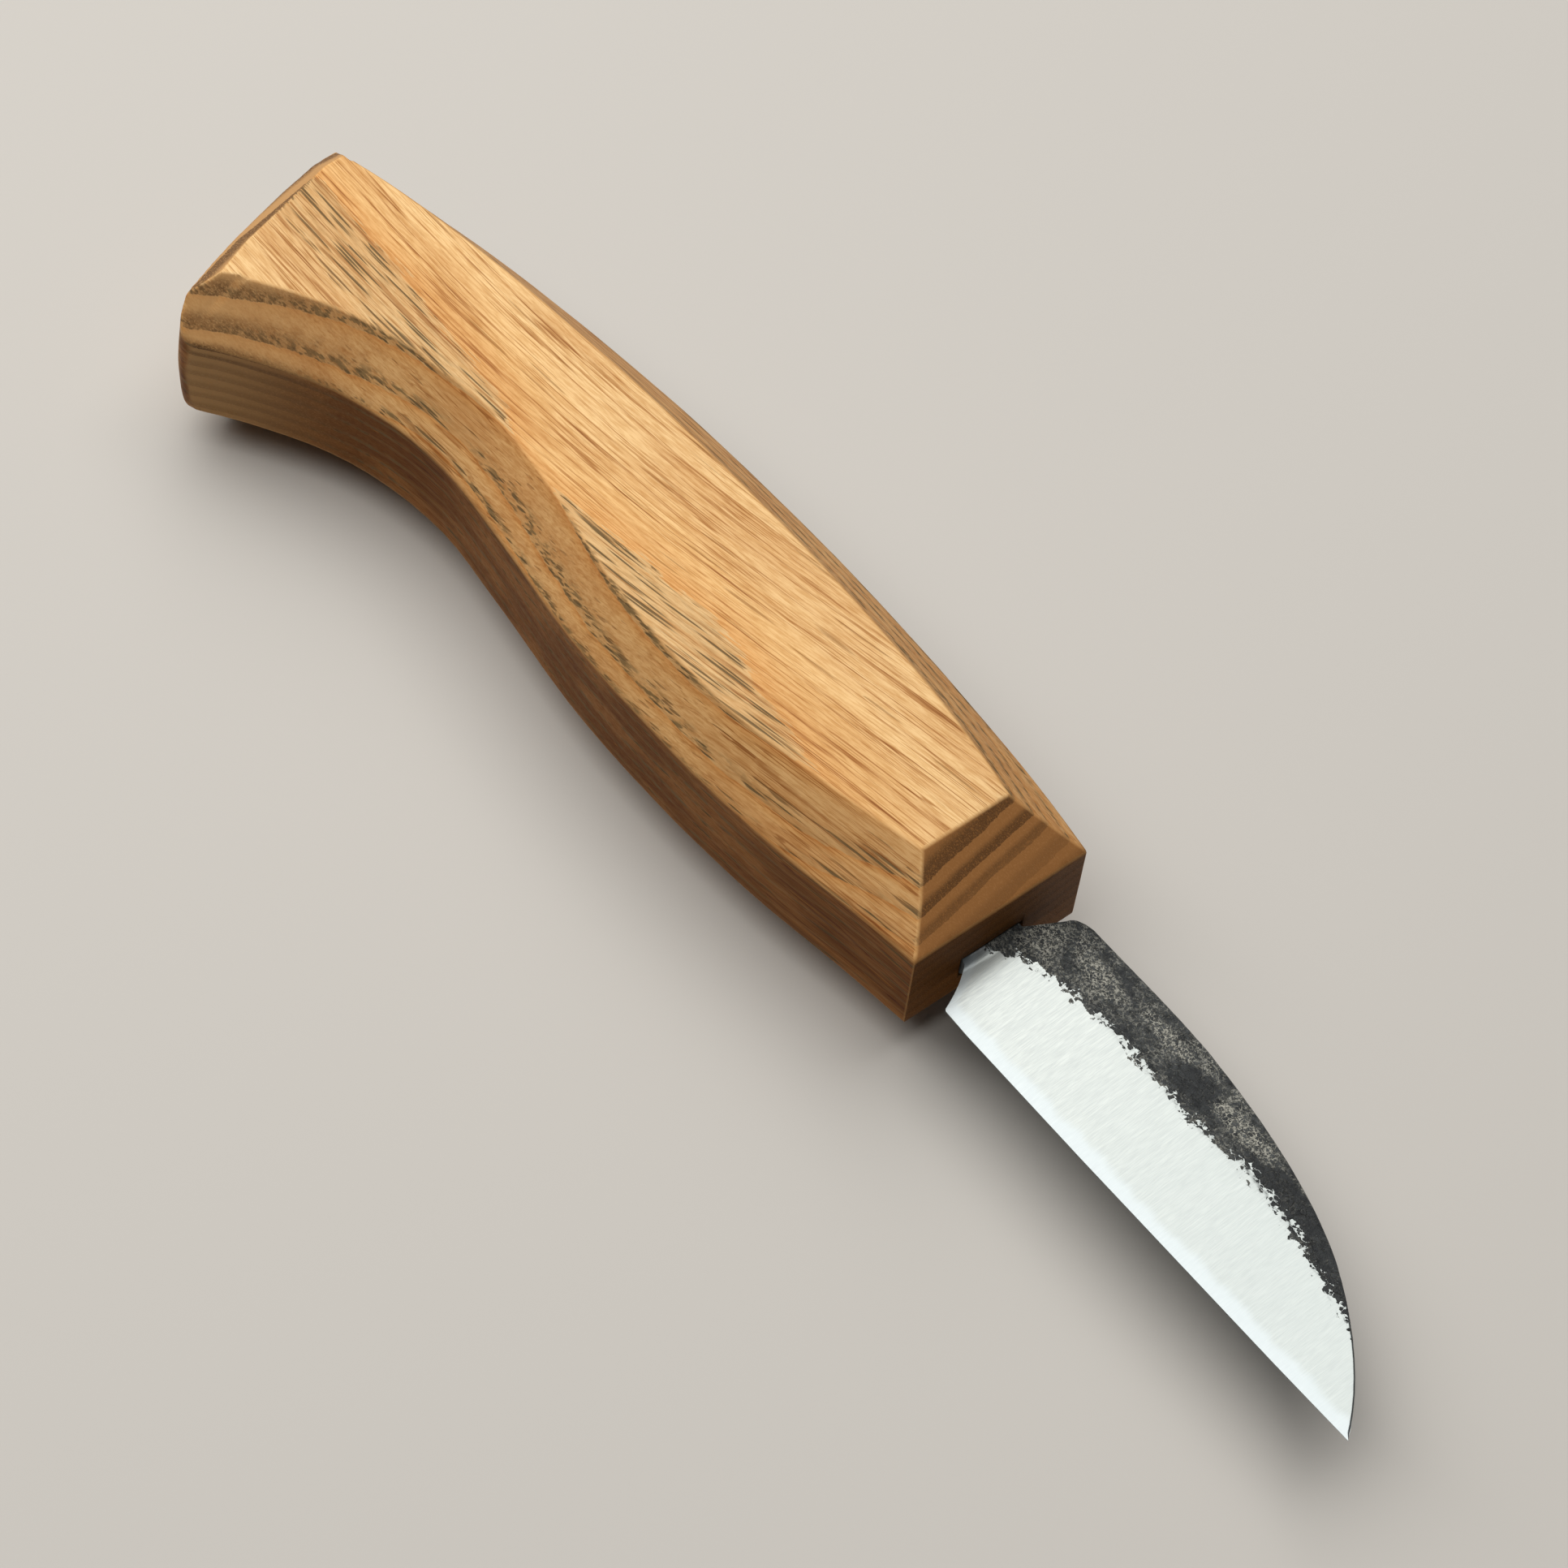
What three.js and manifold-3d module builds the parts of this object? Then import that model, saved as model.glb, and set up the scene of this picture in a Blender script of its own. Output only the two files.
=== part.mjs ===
// Whittling knife: a short forged blade with a straight cutting edge and a spine
// that curves down to the point, set by its stick tang into a carved, eight-sided
// wooden handle that bends like a slow S towards the butt.
//
// Millimetres, +Z up. The knife lies on its side: +X runs from the butt to the
// point, +Y from the cutting edge to the spine, and Z is the handle's thickness.
// Everything is drawn from the middle of the handle's front face; the last lines
// move the whole knife so that its origin is the bottom centre of its box.

import * as THREE from "three";
import { mergeVertices } from "three/addons/utils/BufferGeometryUtils.js";
import Module from "manifold-3d";

const wasm = await Module();
wasm.setup();

// ---------------------------------------------------------------- driving sizes

const fitGap = 0.3; // between any two pieces that touch

// Handle
const handleThick = 22.0; // flat side to flat side
const sideHeight = 10.8; // height of the plain band along the back and belly
const handleLength = 118.1; // front face to the far point of the butt
const frontSlope = 7.5; // how far the front chamfers run back along the flats
const buttDome = 0.8; // how far the butt swells at half its thickness
const upperRim = { inset: 3.1, drop: 2.0 }; // chamfer round the butt, on the upper flat
const lowerRim = { inset: 4.2, drop: 5.0 }; // and on the lower one

// Blade
const bladeReach = 62.2; // front face to point
const bladeHalfWidth = 9.1; // half the blade, edge to spine
const bladeThick = 2.6; // at the handle
const pointThick = 2.2; // of the flats, carried on to the point
const edgeThick = 0.16; // left on the cutting edge
const grindTop = 2.6; // height over the blade's middle where the grind starts
const bladeDrop = 1.6; // blade's middle plane below the handle's

// Tang and its bed
const tangWidth = 7.6; // at the handle's front face
const tangShift = -0.3; // of its centre line, towards the cutting edge
const tangEndWidth = 4.4;
const tangEndThick = 1.8;
const tangDepth = 76; // inside the handle
const mouthDepth = 8; // stretch at the front that fits the tang closely
const bedWall = 1.1; // thickness of the adhesive round the tang
const bedTail = 4; // adhesive past the end of the tang

// Levels that follow from them
const midZ = handleThick / 2;
const chamferDrop = (handleThick - sideHeight) / 2;
const bladeZ = midZ - bladeDrop;

// ---------------------------------------------------------------- helpers

// A closed three.js geometry as a manifold solid, with shared vertices merged.
function solid(geometry) {
  const bare = geometry.clone();
  bare.deleteAttribute("normal");
  bare.deleteAttribute("uv");
  const merged = mergeVertices(bare, 1e-4);
  return new wasm.Manifold(
    new wasm.Mesh({
      numProp: 3,
      vertProperties: new Float32Array(merged.attributes.position.array),
      triVerts: new Uint32Array(merged.index.array),
    }),
  );
}

// A manifold solid as a three.js geometry.
function geometryOf(body) {
  const mesh = body.getMesh();
  const geometry = new THREE.BufferGeometry();
  geometry.setAttribute("position", new THREE.BufferAttribute(mesh.vertProperties, 3));
  geometry.setIndex(new THREE.BufferAttribute(mesh.triVerts, 1));
  geometry.computeVertexNormals();
  return geometry;
}

function shapeOf(points) {
  return new THREE.Shape(points.map(([a, b]) => new THREE.Vector2(a, b)));
}

// An outline in X and Y, pulled up from low to high. With a dome it is full size at
// half its height and smaller by dome at both ends.
function plate(shape, low, high, dome = 0) {
  const wall = 0.6; // height of the upright stretch between the two tapers
  const drop = dome > 0 ? (high - low - wall) / 2 : 0;
  const geometry = new THREE.ExtrudeGeometry(shape, {
    depth: high - low - 2 * drop,
    curveSegments: 10,
    bevelEnabled: dome > 0,
    bevelSegments: 1,
    bevelThickness: drop,
    bevelSize: dome,
    bevelOffset: -dome,
  });
  return solid(geometry.translate(0, 0, low + drop));
}

// A profile in X and Z, pulled along Y through the whole knife.
function profileAlongY(points) {
  const depth = 120;
  const geometry = new THREE.ExtrudeGeometry(shapeOf(points), { depth, bevelEnabled: false });
  return solid(geometry.rotateX(Math.PI / 2).translate(0, depth / 2, 0));
}

// A section in Y and Z, pulled along X from one place to another.
function sectionAlongX(points, from, to) {
  const geometry = new THREE.ExtrudeGeometry(shapeOf(points), { depth: to - from, bevelEnabled: false });
  // Shape X becomes Y, shape Y becomes Z and the depth becomes X.
  const turn = new THREE.Matrix4().makeBasis(
    new THREE.Vector3(0, 1, 0),
    new THREE.Vector3(0, 0, 1),
    new THREE.Vector3(1, 0, 0),
  );
  return solid(geometry.applyMatrix4(turn).translate(from, 0, 0));
}

// A skin through a row of convex rings with the same number of corners. The rings
// turn anticlockwise seen from +X, and the row runs towards +X.
function loft(rings) {
  const corners = rings[0].length;
  const position = rings.flat(2);
  const index = [];
  for (let r = 0; r + 1 < rings.length; r += 1) {
    for (let c = 0; c < corners; c += 1) {
      const a = r * corners + c;
      const b = r * corners + ((c + 1) % corners);
      index.push(a, a + corners, b + corners);
      index.push(a, b + corners, b);
    }
  }
  const last = (rings.length - 1) * corners;
  for (let c = 1; c + 1 < corners; c += 1) {
    index.push(0, c, c + 1);
    index.push(last, last + c + 1, last + c);
  }
  // The winding above faces inwards for an anticlockwise ring, so it is reversed.
  index.reverse();
  const geometry = new THREE.BufferGeometry();
  geometry.setAttribute("position", new THREE.Float32BufferAttribute(position, 3));
  geometry.setIndex(index);
  return solid(geometry);
}

// ---------------------------------------------------------------- handle

// How the carved body runs, by distance from the front face: the back's plain band,
// the flat's edge on the back's side, the flat's edge on the belly's side, and the
// belly's plain band. The first and last rows lie past the ends that are cut later.
const stations = [
  [-121, 5.2, 1.4, -28.0, -36.0],
  [-110, 8.2, 4.4, -18.5, -26.3],
  [-100, 10.4, 6.3, -11.6, -18.8],
  [-90, 12.0, 7.6, -7.6, -13.7],
  [-78, 13.4, 8.7, -5.7, -11.5],
  [-66, 14.4, 9.4, -6.6, -12.5],
  [-50, 14.9, 9.8, -9.3, -14.4],
  [-34, 14.7, 9.5, -9.6, -14.7],
  [-20, 13.9, 8.5, -7.4, -13.8],
  [-8, 12.8, 6.7, -4.8, -12.1],
  [3, 11.2, 4.6, -2.2, -10.9],
];
const handleSteps = 44;

function carvedBody() {
  const lines = [1, 2, 3, 4].map(
    (column) => new THREE.SplineCurve(stations.map((row) => new THREE.Vector2(row[0], row[column]))),
  );
  const rings = [];
  for (let step = 0; step <= handleSteps; step += 1) {
    const [back, backFlat, bellyFlat, belly] = lines.map((line) => line.getPoint(step / handleSteps));
    const x = back.x;
    const top = handleThick;
    rings.push([
      [x, belly.y, chamferDrop],
      [x, bellyFlat.y, 0],
      [x, backFlat.y, 0],
      [x, back.y, chamferDrop],
      [x, back.y, top - chamferDrop],
      [x, backFlat.y, top],
      [x, bellyFlat.y, top],
      [x, belly.y, top - chamferDrop],
    ]);
  }
  return loft(rings);
}

// The outline that ends the handle, seen from above: a slanted, slightly bowed butt
// with a clipped back corner and a round belly corner. The rest of it runs clear of
// the handle.
function buttOutline() {
  const clear = 40;
  const far = -handleLength;
  const shape = new THREE.Shape();
  shape.moveTo(clear, clear);
  shape.lineTo(far + 14, clear);
  shape.lineTo(far + 2.2, 7.4);
  shape.quadraticCurveTo(far + 0.1, 5.8, far, 3.2);
  shape.quadraticCurveTo(far + 1.4, -6, far + 7.2, -20.6);
  shape.quadraticCurveTo(far + 9.3, -25.6, far + 13, -22.9);
  shape.lineTo(clear, -clear);
  shape.closePath();
  return shape;
}

// One flat stroke of the knife that takes the rim off the butt: a block whose face
// passes through the flat, inset from the outline, and through the end, drop below
// the flat. The heading is where the stroke faces, in degrees; side is 1 for the
// upper flat and -1 for the lower one.
function rimStroke(x, y, heading, rim, side) {
  const reach = 60;
  const angle = THREE.MathUtils.degToRad(heading);
  const out = new THREE.Vector3(Math.cos(angle), Math.sin(angle), 0);
  const up = new THREE.Vector3(0, 0, side);
  const endInset = buttDome * (1 - rim.drop / midZ);
  const normal = out.clone().multiplyScalar(rim.drop).addScaledVector(up, rim.inset - endInset).normalize();
  const turn = new THREE.Quaternion().setFromUnitVectors(new THREE.Vector3(0, 0, 1), normal);
  const block = new THREE.BoxGeometry(reach, reach, reach).translate(0, 0, reach / 2);
  block.applyQuaternion(turn);
  block.translate(x - out.x * rim.inset, y - out.y * rim.inset, midZ + side * midZ);
  return solid(block);
}

// Where the strokes meet the butt's outline, round from the back to the belly, as
// distance from its far point, Y and heading, with the share of the rim each takes.
const rimStrokes = [
  [1.2, 6.6, 140, 0.6],
  [0, 3.2, 183, 1],
  [2.4, -7.3, 197, 1],
  [6.2, -18, 203, 1],
  [8.6, -23.3, 225, 0.7],
  [10.6, -24, 260, 0.45],
];

// The handle from the side: flat, with a chamfer down to the front face above and below.
function sideProfile() {
  const back = -handleLength - 10;
  return [
    [back, 0],
    [-frontSlope, 0],
    [0, chamferDrop],
    [0, handleThick - chamferDrop],
    [-frontSlope, handleThick],
    [back, handleThick],
  ];
}

// The tang with a margin all round it, from the front face inwards. It is a tapered
// bar of four sides; the margin grows it, and start and end say which stretch is wanted.
function tangBar(margin, start, end) {
  const taper = (x) => THREE.MathUtils.clamp(-x / tangDepth, -0.1, 1.1);
  const ring = (x) => {
    const w = THREE.MathUtils.lerp(tangWidth, tangEndWidth, taper(x)) / 2 + margin;
    const t = THREE.MathUtils.lerp(bladeThick, tangEndThick, taper(x)) / 2 + margin;
    return [
      [x, tangShift - w, bladeZ - t],
      [x, tangShift + w, bladeZ - t],
      [x, tangShift + w, bladeZ + t],
      [x, tangShift - w, bladeZ + t],
    ];
  };
  return loft([ring(end), ring(start)]);
}

function makeHandle() {
  let body = carvedBody()
    .intersect(plate(buttOutline(), 0, handleThick, buttDome))
    .intersect(profileAlongY(sideProfile()));
  for (const [along, y, heading, share] of rimStrokes) {
    for (const [rim, side] of [[upperRim, 1], [lowerRim, -1]]) {
      const cut = { inset: rim.inset * share, drop: rim.drop * share };
      body = body.subtract(rimStroke(along - handleLength, y, heading, cut, side));
    }
  }
  const mouth = tangBar(fitGap, 2, -mouthDepth - 1);
  const pocket = tangBar(fitGap * 2 + bedWall, -mouthDepth, -tangDepth - bedTail - fitGap);
  return body.subtract(mouth).subtract(pocket);
}

// ---------------------------------------------------------------- adhesive bed

function makeBed() {
  const outside = tangBar(fitGap + bedWall, -mouthDepth - fitGap, -tangDepth - bedTail);
  const hollow = tangBar(fitGap, 0, -tangDepth - fitGap);
  return outside.subtract(hollow);
}

// ---------------------------------------------------------------- blade

// The blade seen from its side, without the tang: a straight edge along the bottom,
// a spine that is straight at first and then drops to the point, a shoulder that
// slopes to the tang at the back, and a small hollow at the heel.
function bladeOutline() {
  const w = bladeHalfWidth;
  const shape = new THREE.Shape();
  shape.moveTo(-1, -3.9);
  shape.lineTo(0.3, -4.1);
  shape.quadraticCurveTo(2.0, -6.2, 2.9, -w + 0.3);
  shape.lineTo(6.5, -w + 0.15);
  shape.lineTo(24, -w);
  shape.lineTo(52, -w);
  shape.lineTo(bladeReach, -w + 0.1);
  shape.quadraticCurveTo(57.9, -2.5, 47.6, 2.9);
  shape.quadraticCurveTo(38.4, 7.3, 22.8, w - 0.3);
  shape.quadraticCurveTo(19, w, 14, w);
  shape.lineTo(5, w);
  shape.quadraticCurveTo(2.8, w - 0.2, 2.5, 7.6);
  shape.lineTo(0.4, 3.5);
  shape.lineTo(-1, 3.1);
  shape.closePath();
  return shape;
}

// Across the blade: parallel flats down to the top of the grind, then a flat taper
// to the edge.
function bladeSection() {
  const flat = bladeThick / 2;
  const edge = edgeThick / 2;
  const w = bladeHalfWidth;
  return [
    [w + 1, bladeZ - flat],
    [w + 1, bladeZ + flat],
    [grindTop, bladeZ + flat],
    [-w, bladeZ + edge],
    [-w - 1, bladeZ + edge],
    [-w - 1, bladeZ - edge],
    [-w, bladeZ - edge],
    [grindTop, bladeZ - flat],
  ];
}

// Along the blade: slightly thinner towards the point.
function bladeTaper() {
  return [
    [-2, bladeZ - bladeThick / 2],
    [bladeReach + 1, bladeZ - pointThick / 2],
    [bladeReach + 1, bladeZ + pointThick / 2],
    [-2, bladeZ + bladeThick / 2],
  ];
}

function makeBlade() {
  const wedge = sectionAlongX(bladeSection(), -2, bladeReach + 1);
  const body = plate(bladeOutline(), bladeZ - bladeThick, bladeZ + bladeThick)
    .intersect(wedge)
    .intersect(profileAlongY(bladeTaper()));
  return body.add(tangBar(0, 0.8, -tangDepth));
}

// ---------------------------------------------------------------- scene graph

const steel = new THREE.MeshStandardMaterial({ color: 0xb9bcbe, roughness: 0.35, metalness: 1.0 });
const wood = new THREE.MeshStandardMaterial({ color: 0xb28a5c, roughness: 0.62, metalness: 0.0 });
const epoxy = new THREE.MeshStandardMaterial({ color: 0xc9a35a, roughness: 0.3, metalness: 0.0 });

const group = new THREE.Group();
for (const [name, body, material] of [
  ["blade", makeBlade(), steel],
  ["handle", makeHandle(), wood],
  ["tang_epoxy", makeBed(), epoxy],
]) {
  const mesh = new THREE.Mesh(geometryOf(body), material);
  mesh.name = name;
  group.add(mesh);
}

// The origin goes to the bottom centre of the knife's box.
const box = new THREE.Box3().setFromObject(group);
const centre = box.getCenter(new THREE.Vector3());
group.position.set(-centre.x, -centre.y, -box.min.z);

export default group;
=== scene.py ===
"""Whittling knife: the eased, carved handle, the forged blade, its adhesive bed, and a plain studio."""
import bpy
import bmesh
import math
import numpy as np
from mathutils import Matrix, Vector, noise
from mathutils.bvhtree import BVHTree


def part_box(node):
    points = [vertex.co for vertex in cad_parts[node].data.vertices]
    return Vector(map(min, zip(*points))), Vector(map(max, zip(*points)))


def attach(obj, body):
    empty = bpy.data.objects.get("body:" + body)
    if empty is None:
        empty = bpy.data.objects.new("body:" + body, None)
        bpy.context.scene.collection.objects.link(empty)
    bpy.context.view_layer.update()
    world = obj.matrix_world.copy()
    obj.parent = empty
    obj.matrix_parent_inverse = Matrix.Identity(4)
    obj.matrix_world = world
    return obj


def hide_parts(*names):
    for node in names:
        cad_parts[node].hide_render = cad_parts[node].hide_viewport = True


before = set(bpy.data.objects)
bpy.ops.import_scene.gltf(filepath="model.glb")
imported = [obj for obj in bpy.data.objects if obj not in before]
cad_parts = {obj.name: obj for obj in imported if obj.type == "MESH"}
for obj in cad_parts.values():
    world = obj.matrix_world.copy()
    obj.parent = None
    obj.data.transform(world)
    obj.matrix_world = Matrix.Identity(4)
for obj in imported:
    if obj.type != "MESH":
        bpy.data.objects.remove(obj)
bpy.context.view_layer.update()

MM = 0.001
handle_low, handle_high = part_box("handle")
blade_low, blade_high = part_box("blade")
# the knife's own datum: the middle of the handle's front face, level with the surface it lies on
DATUM = Vector((handle_high.x, (blade_low.y + blade_high.y) / 2, handle_low.z))
HANDLE_THICK = (handle_high.z - handle_low.z) / MM
BLADE_REACH = (blade_high.x - handle_high.x) / MM
BLADE_MID_Z = (blade_low.z + blade_high.z) / 2 / MM
BLADE_HALF_THICK = (blade_high.z - blade_low.z) / 2 / MM


def to_knife(points):
    """Row-frame metres to millimetres from the datum."""
    return (np.asarray(points, float) - np.array(DATUM)) / MM


def to_row(points):
    """Millimetres from the datum to row-frame metres."""
    return np.asarray(points, float) * MM + np.array(DATUM)


def smooth_curve(points, at):
    """A smooth line through a few given points, read at each x."""
    xs, ys = np.array(points, float).T
    slopes = np.gradient(ys, xs)
    at = np.clip(np.asarray(at, float), xs[0], xs[-1])
    i = np.clip(np.searchsorted(xs, at) - 1, 0, len(xs) - 2)
    span = xs[i + 1] - xs[i]
    t = (at - xs[i]) / span
    rise = ys[i] * (1 + 2 * t) * (1 - t) ** 2 + ys[i + 1] * t * t * (3 - 2 * t)
    return rise + span * (slopes[i] * t * (1 - t) ** 2 - slopes[i + 1] * t * t * (1 - t))


def step(low, high, value):
    """0 on the low side, 1 on the high side, and a smooth change between. Low may be the larger number."""
    t = np.clip((np.asarray(value, float) - low) / (high - low), 0, 1)
    return t * t * (3 - 2 * t)


def bumps(points, size, octaves=2, seed=0.0):
    """Seeded soft noise from about -1 to 1, with bumps of the given size in the points' own units."""
    shift = Vector((seed * 7.31, seed * 3.17, seed * 5.43))
    return np.array([noise.fractal(Vector(p) / size + shift, 0.8, 2.1, octaves) for p in points])


def mesh_array(collection, name, width, kind=float):
    """One of a mesh collection's values as rows of numbers."""
    values = np.empty(len(collection) * width, kind)
    collection.foreach_get(name, values)
    return values.reshape(-1, width)


def set_attribute(mesh, name, values):
    """A value, or a vector, for each vertex, which the materials read by name."""
    values = np.asarray(values, np.float32)
    kind, key = ("FLOAT", "value") if values.ndim == 1 else ("FLOAT_VECTOR", "vector")
    mesh.attributes.new(name, kind, "POINT").data.foreach_set(key, values.ravel())


def new_piece(name, mesh):
    """An object in the scene that shows the mesh."""
    piece = bpy.data.objects.new(name, mesh)
    bpy.context.scene.collection.objects.link(piece)
    return piece


def keep_inside(mesh, node):
    """Hold every vertex within the box of the CAD node that the mesh stands for."""
    points = np.clip(mesh_array(mesh.vertices, "co", 3), *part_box(node))
    mesh.vertices.foreach_set("co", points.ravel())
    mesh.update()


def apply_modifiers(piece):
    """The piece's mesh as its modifiers leave it, with none left on it."""
    bpy.context.view_layer.update()
    shown = piece.evaluated_get(bpy.context.evaluated_depsgraph_get())
    mesh = bpy.data.meshes.new_from_object(shown)
    piece.modifiers.clear()
    piece.data = mesh
    return mesh


# ---------------------------------------------------------------------------------------------------
# Handle: the CAD solid with its edges eased and its flats very slightly uneven, as a knife leaves them
# ---------------------------------------------------------------------------------------------------

# vertices nearer than WELD are one, faces that meet flatter than FLAT are one, and edges shorter than
# SHORTEST_EDGE close up
WELD = 0.001
FLAT = math.radians(0.4)
SHORTEST_EDGE = 0.5
# edges that turn more than CRISP are eased by EDGE_EASE
CRISP = math.radians(14)
EDGE_EASE = 0.3
EASE_SEGMENTS = 3
# the tang's hole lies within this distance of the datum along y, and within half of it in height
MOUTH_HALF = 5.0
# the butt is sanded rounder than the rest: where its end lies at each y, and how far the sanding goes
BUTT_END = [(-22, -110.3), (-12, -114.0), (-3, -116.9), (3, -118.1), (8, -118.1)]
BUTT_REGION = 5.0
BUTT_CELL = 0.45
BUTT_PASSES = 44
PASS_SHARE = 0.6
# its upper rim stays crisper: above UPPER_RIM the sanding has only this share of its strength, which grows
# to all of it at the height FULLY_SANDED
UPPER_SHARE = 0.06
UPPER_RIM = 20.5
FULLY_SANDED = 12
# the size of the cells that the faces are cut into, and the breadth and depth of the knife's unevenness
CELL = 1.2
CUT_SLACK = 0.02
WAVE_SIZE = 5.0
KNIFE_WAVE = 0.09


def from_butt(points):
    """How far each point, in row metres, is from the butt's end, in mm."""
    x, y, _ = to_knife(points).T
    return x - smooth_curve(BUTT_END, y)


def at_mouth(points):
    """Whether these points, in row metres, are all on the rim of the hole that the tang enters."""
    x, y, z = to_knife(points).T
    beside = np.maximum(abs(y), 2 * abs(z - BLADE_MID_Z))
    return (x > -0.2).all() and (beside < MOUTH_HALF).all()


def eased_solid(node):
    """The CAD node's mesh with flat faces joined up, and its outside corners rounded over away from the
    butt and the tang's hole."""
    bm = bmesh.new()
    bm.from_mesh(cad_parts[node].data)
    bmesh.ops.remove_doubles(bm, verts=bm.verts, dist=WELD * MM)
    bmesh.ops.dissolve_limit(bm, angle_limit=FLAT, verts=bm.verts, edges=bm.edges)
    bmesh.ops.remove_doubles(bm, verts=bm.verts, dist=SHORTEST_EDGE * MM)
    weight = bm.edges.layers.float.new("bevel_weight_edge")
    for edge in bm.edges:
        if edge.is_manifold and edge.is_convex and edge.calc_face_angle() > CRISP:
            ends = [v.co for v in edge.verts]
            edge[weight] = float(from_butt(ends).min() > BUTT_REGION - 1 and not at_mouth(ends))
    mesh = bpy.data.meshes.new("eased")
    for slot_name in ("flat", "rounded"):
        mesh.materials.append(bpy.data.materials.new(slot_name))
    for face in bm.faces:
        face.material_index = 0
    bm.to_mesh(mesh)
    piece = new_piece("eased", mesh)
    ease = piece.modifiers.new("ease", "BEVEL")
    ease.limit_method = "WEIGHT"
    ease.width = EDGE_EASE * MM
    ease.segments = EASE_SEGMENTS
    ease.use_clamp_overlap = False
    ease.material = 1
    mesh = apply_modifiers(piece)
    bpy.data.objects.remove(piece)
    return mesh


def slice_into_cells(bm, cell, faces):
    """Cut these faces along a grid of planes, so that they have vertices inside them."""
    pieces = list(dict.fromkeys(item for face in faces for item in (*face.verts, *face.edges, face)))
    for axis in range(3):
        normal = Vector([float(axis == k) for k in range(3)])
        reach = [item.co[axis] for item in pieces if isinstance(item, bmesh.types.BMVert)]
        low, high = min(reach), max(reach)
        count = round((high - low) / (cell * MM))
        for i in range(1, count):
            spot = normal * (low + (high - low) * i / count)
            cut = bmesh.ops.bisect_plane(bm, geom=pieces, dist=CUT_SLACK * MM, plane_co=spot,
                                         plane_no=normal)
            pieces = cut["geom"]


def soften_butt(bm):
    """Sand the butt: each pass draws its vertices towards their neighbours, which wears the corners most.
    Gives back how deep each place is worn, in mm."""
    bm.verts.index_update()
    bm.normal_update()
    start = np.array([v.co for v in bm.verts])
    normals = np.array([v.normal for v in bm.verts])
    ends = np.array([[v.index for v in edge.verts] for edge in bm.edges])
    near = 1 - step(0.25, 1.0, from_butt(start) / BUTT_REGION)
    lower = step(UPPER_RIM, FULLY_SANDED, to_knife(start)[:, 2])
    near = near * (UPPER_SHARE + (1 - UPPER_SHARE) * lower)
    joined = np.bincount(ends.ravel(), minlength=len(start))[:, None]
    place = start.copy()
    for _ in range(BUTT_PASSES):
        total = np.zeros_like(place)
        np.add.at(total, ends[:, 0], place[ends[:, 1]])
        np.add.at(total, ends[:, 1], place[ends[:, 0]])
        place += PASS_SHARE * near[:, None] * (total / joined - place)
    for vertex, moved in zip(bm.verts, place):
        vertex.co = moved
    return abs(((place - start) * normals).sum(1)) / MM


def carve_flats(bm):
    """Leave the flats very slightly uneven, always inwards."""
    bm.normal_update()
    wave = bumps(to_knife([v.co for v in bm.verts]) * [0.45, 1, 1], WAVE_SIZE, 2, seed=1)
    for vertex, height in zip(bm.verts, wave):
        vertex.co -= vertex.normal * KNIFE_WAVE * MM * (0.5 + 0.5 * max(-1, min(1, height)))


def handle_mesh():
    """The carved handle, with how far each vertex is rounded over."""
    source = eased_solid("handle")
    bm = bmesh.new()
    bm.from_mesh(source)
    slice_into_cells(bm, CELL, bm.faces)
    butt = [face for face in bm.faces if from_butt([v.co for v in face.verts]).min() < BUTT_REGION]
    slice_into_cells(bm, BUTT_CELL, butt)
    many_sided = [face for face in bm.faces if len(face.verts) > 4]
    bmesh.ops.triangulate(bm, faces=many_sided)
    worn = soften_butt(bm)
    carve_flats(bm)
    rounded = np.array([float(all(face.material_index == 1 for face in v.link_faces)) for v in bm.verts])
    rounded = rounded * step(0.8, 1.6, from_butt([v.co for v in bm.verts]) / BUTT_REGION)
    for face in bm.faces:
        face.smooth = True
        face.material_index = 0
    mesh = bpy.data.meshes.new("handle_wood")
    bm.to_mesh(mesh)
    keep_inside(mesh, "handle")
    piece = new_piece("carved_handle", mesh)
    piece.modifiers.new("normals", "WEIGHTED_NORMAL").weight = 80
    mesh = apply_modifiers(piece)
    set_attribute(mesh, "rounded", np.maximum(rounded, step(0.1, 0.35, worn)))
    return piece, mesh


# how far the fibres drift towards the spine, from butt to front
FIBRE_DRIFT = [(-118, 0.3), (-100, 0), (-85, 0.35), (-70, 1.25), (-55, 2.9), (-40, 5.3), (-25, 8.0),
               (-10, 10.5), (0, 12.0)]
# Growth rings lie nearly level and lean up towards the spine. Each starts with a sharp line, and above
# that line comes open-pored early wood. These are the heights of the two uppermost starts.
RING_LEAN = 0.105
UPPER_START = [(-118, 22.05), (-105, 22.13), (-90, 22.25), (-76, 22.38), (-67, 22.75), (-60, 22.55),
               (-50, 22.43), (-38, 22.4), (-28, 22.6), (-10, 22.95), (0, 23.1)]
LOWER_START = [(-118, 19.9), (-105, 19.75), (-92, 19.2), (-80, 19.6), (-66, 19.5), (-44, 19.2),
               (-30, 19.3), (-16, 19.6), (-6, 20.6), (0, 20.9)]
TOP_RING = 2.4
# how far below the lower of those two starts each deeper ring starts: two narrow rings, then wider ones
# that vary a little
NARROW_RINGS = [0, 1.45, 2.65]
WIDE_RING = 1.7
WIDE_COUNT = 12
RING_SWING = 0.15
WIDE_RINGS = [NARROW_RINGS[-1] + WIDE_RING * k + RING_SWING * math.sin(2.5 * k)
              for k in range(1, WIDE_COUNT + 1)]
RING_DEPTHS = NARROW_RINGS + WIDE_RINGS


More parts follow.
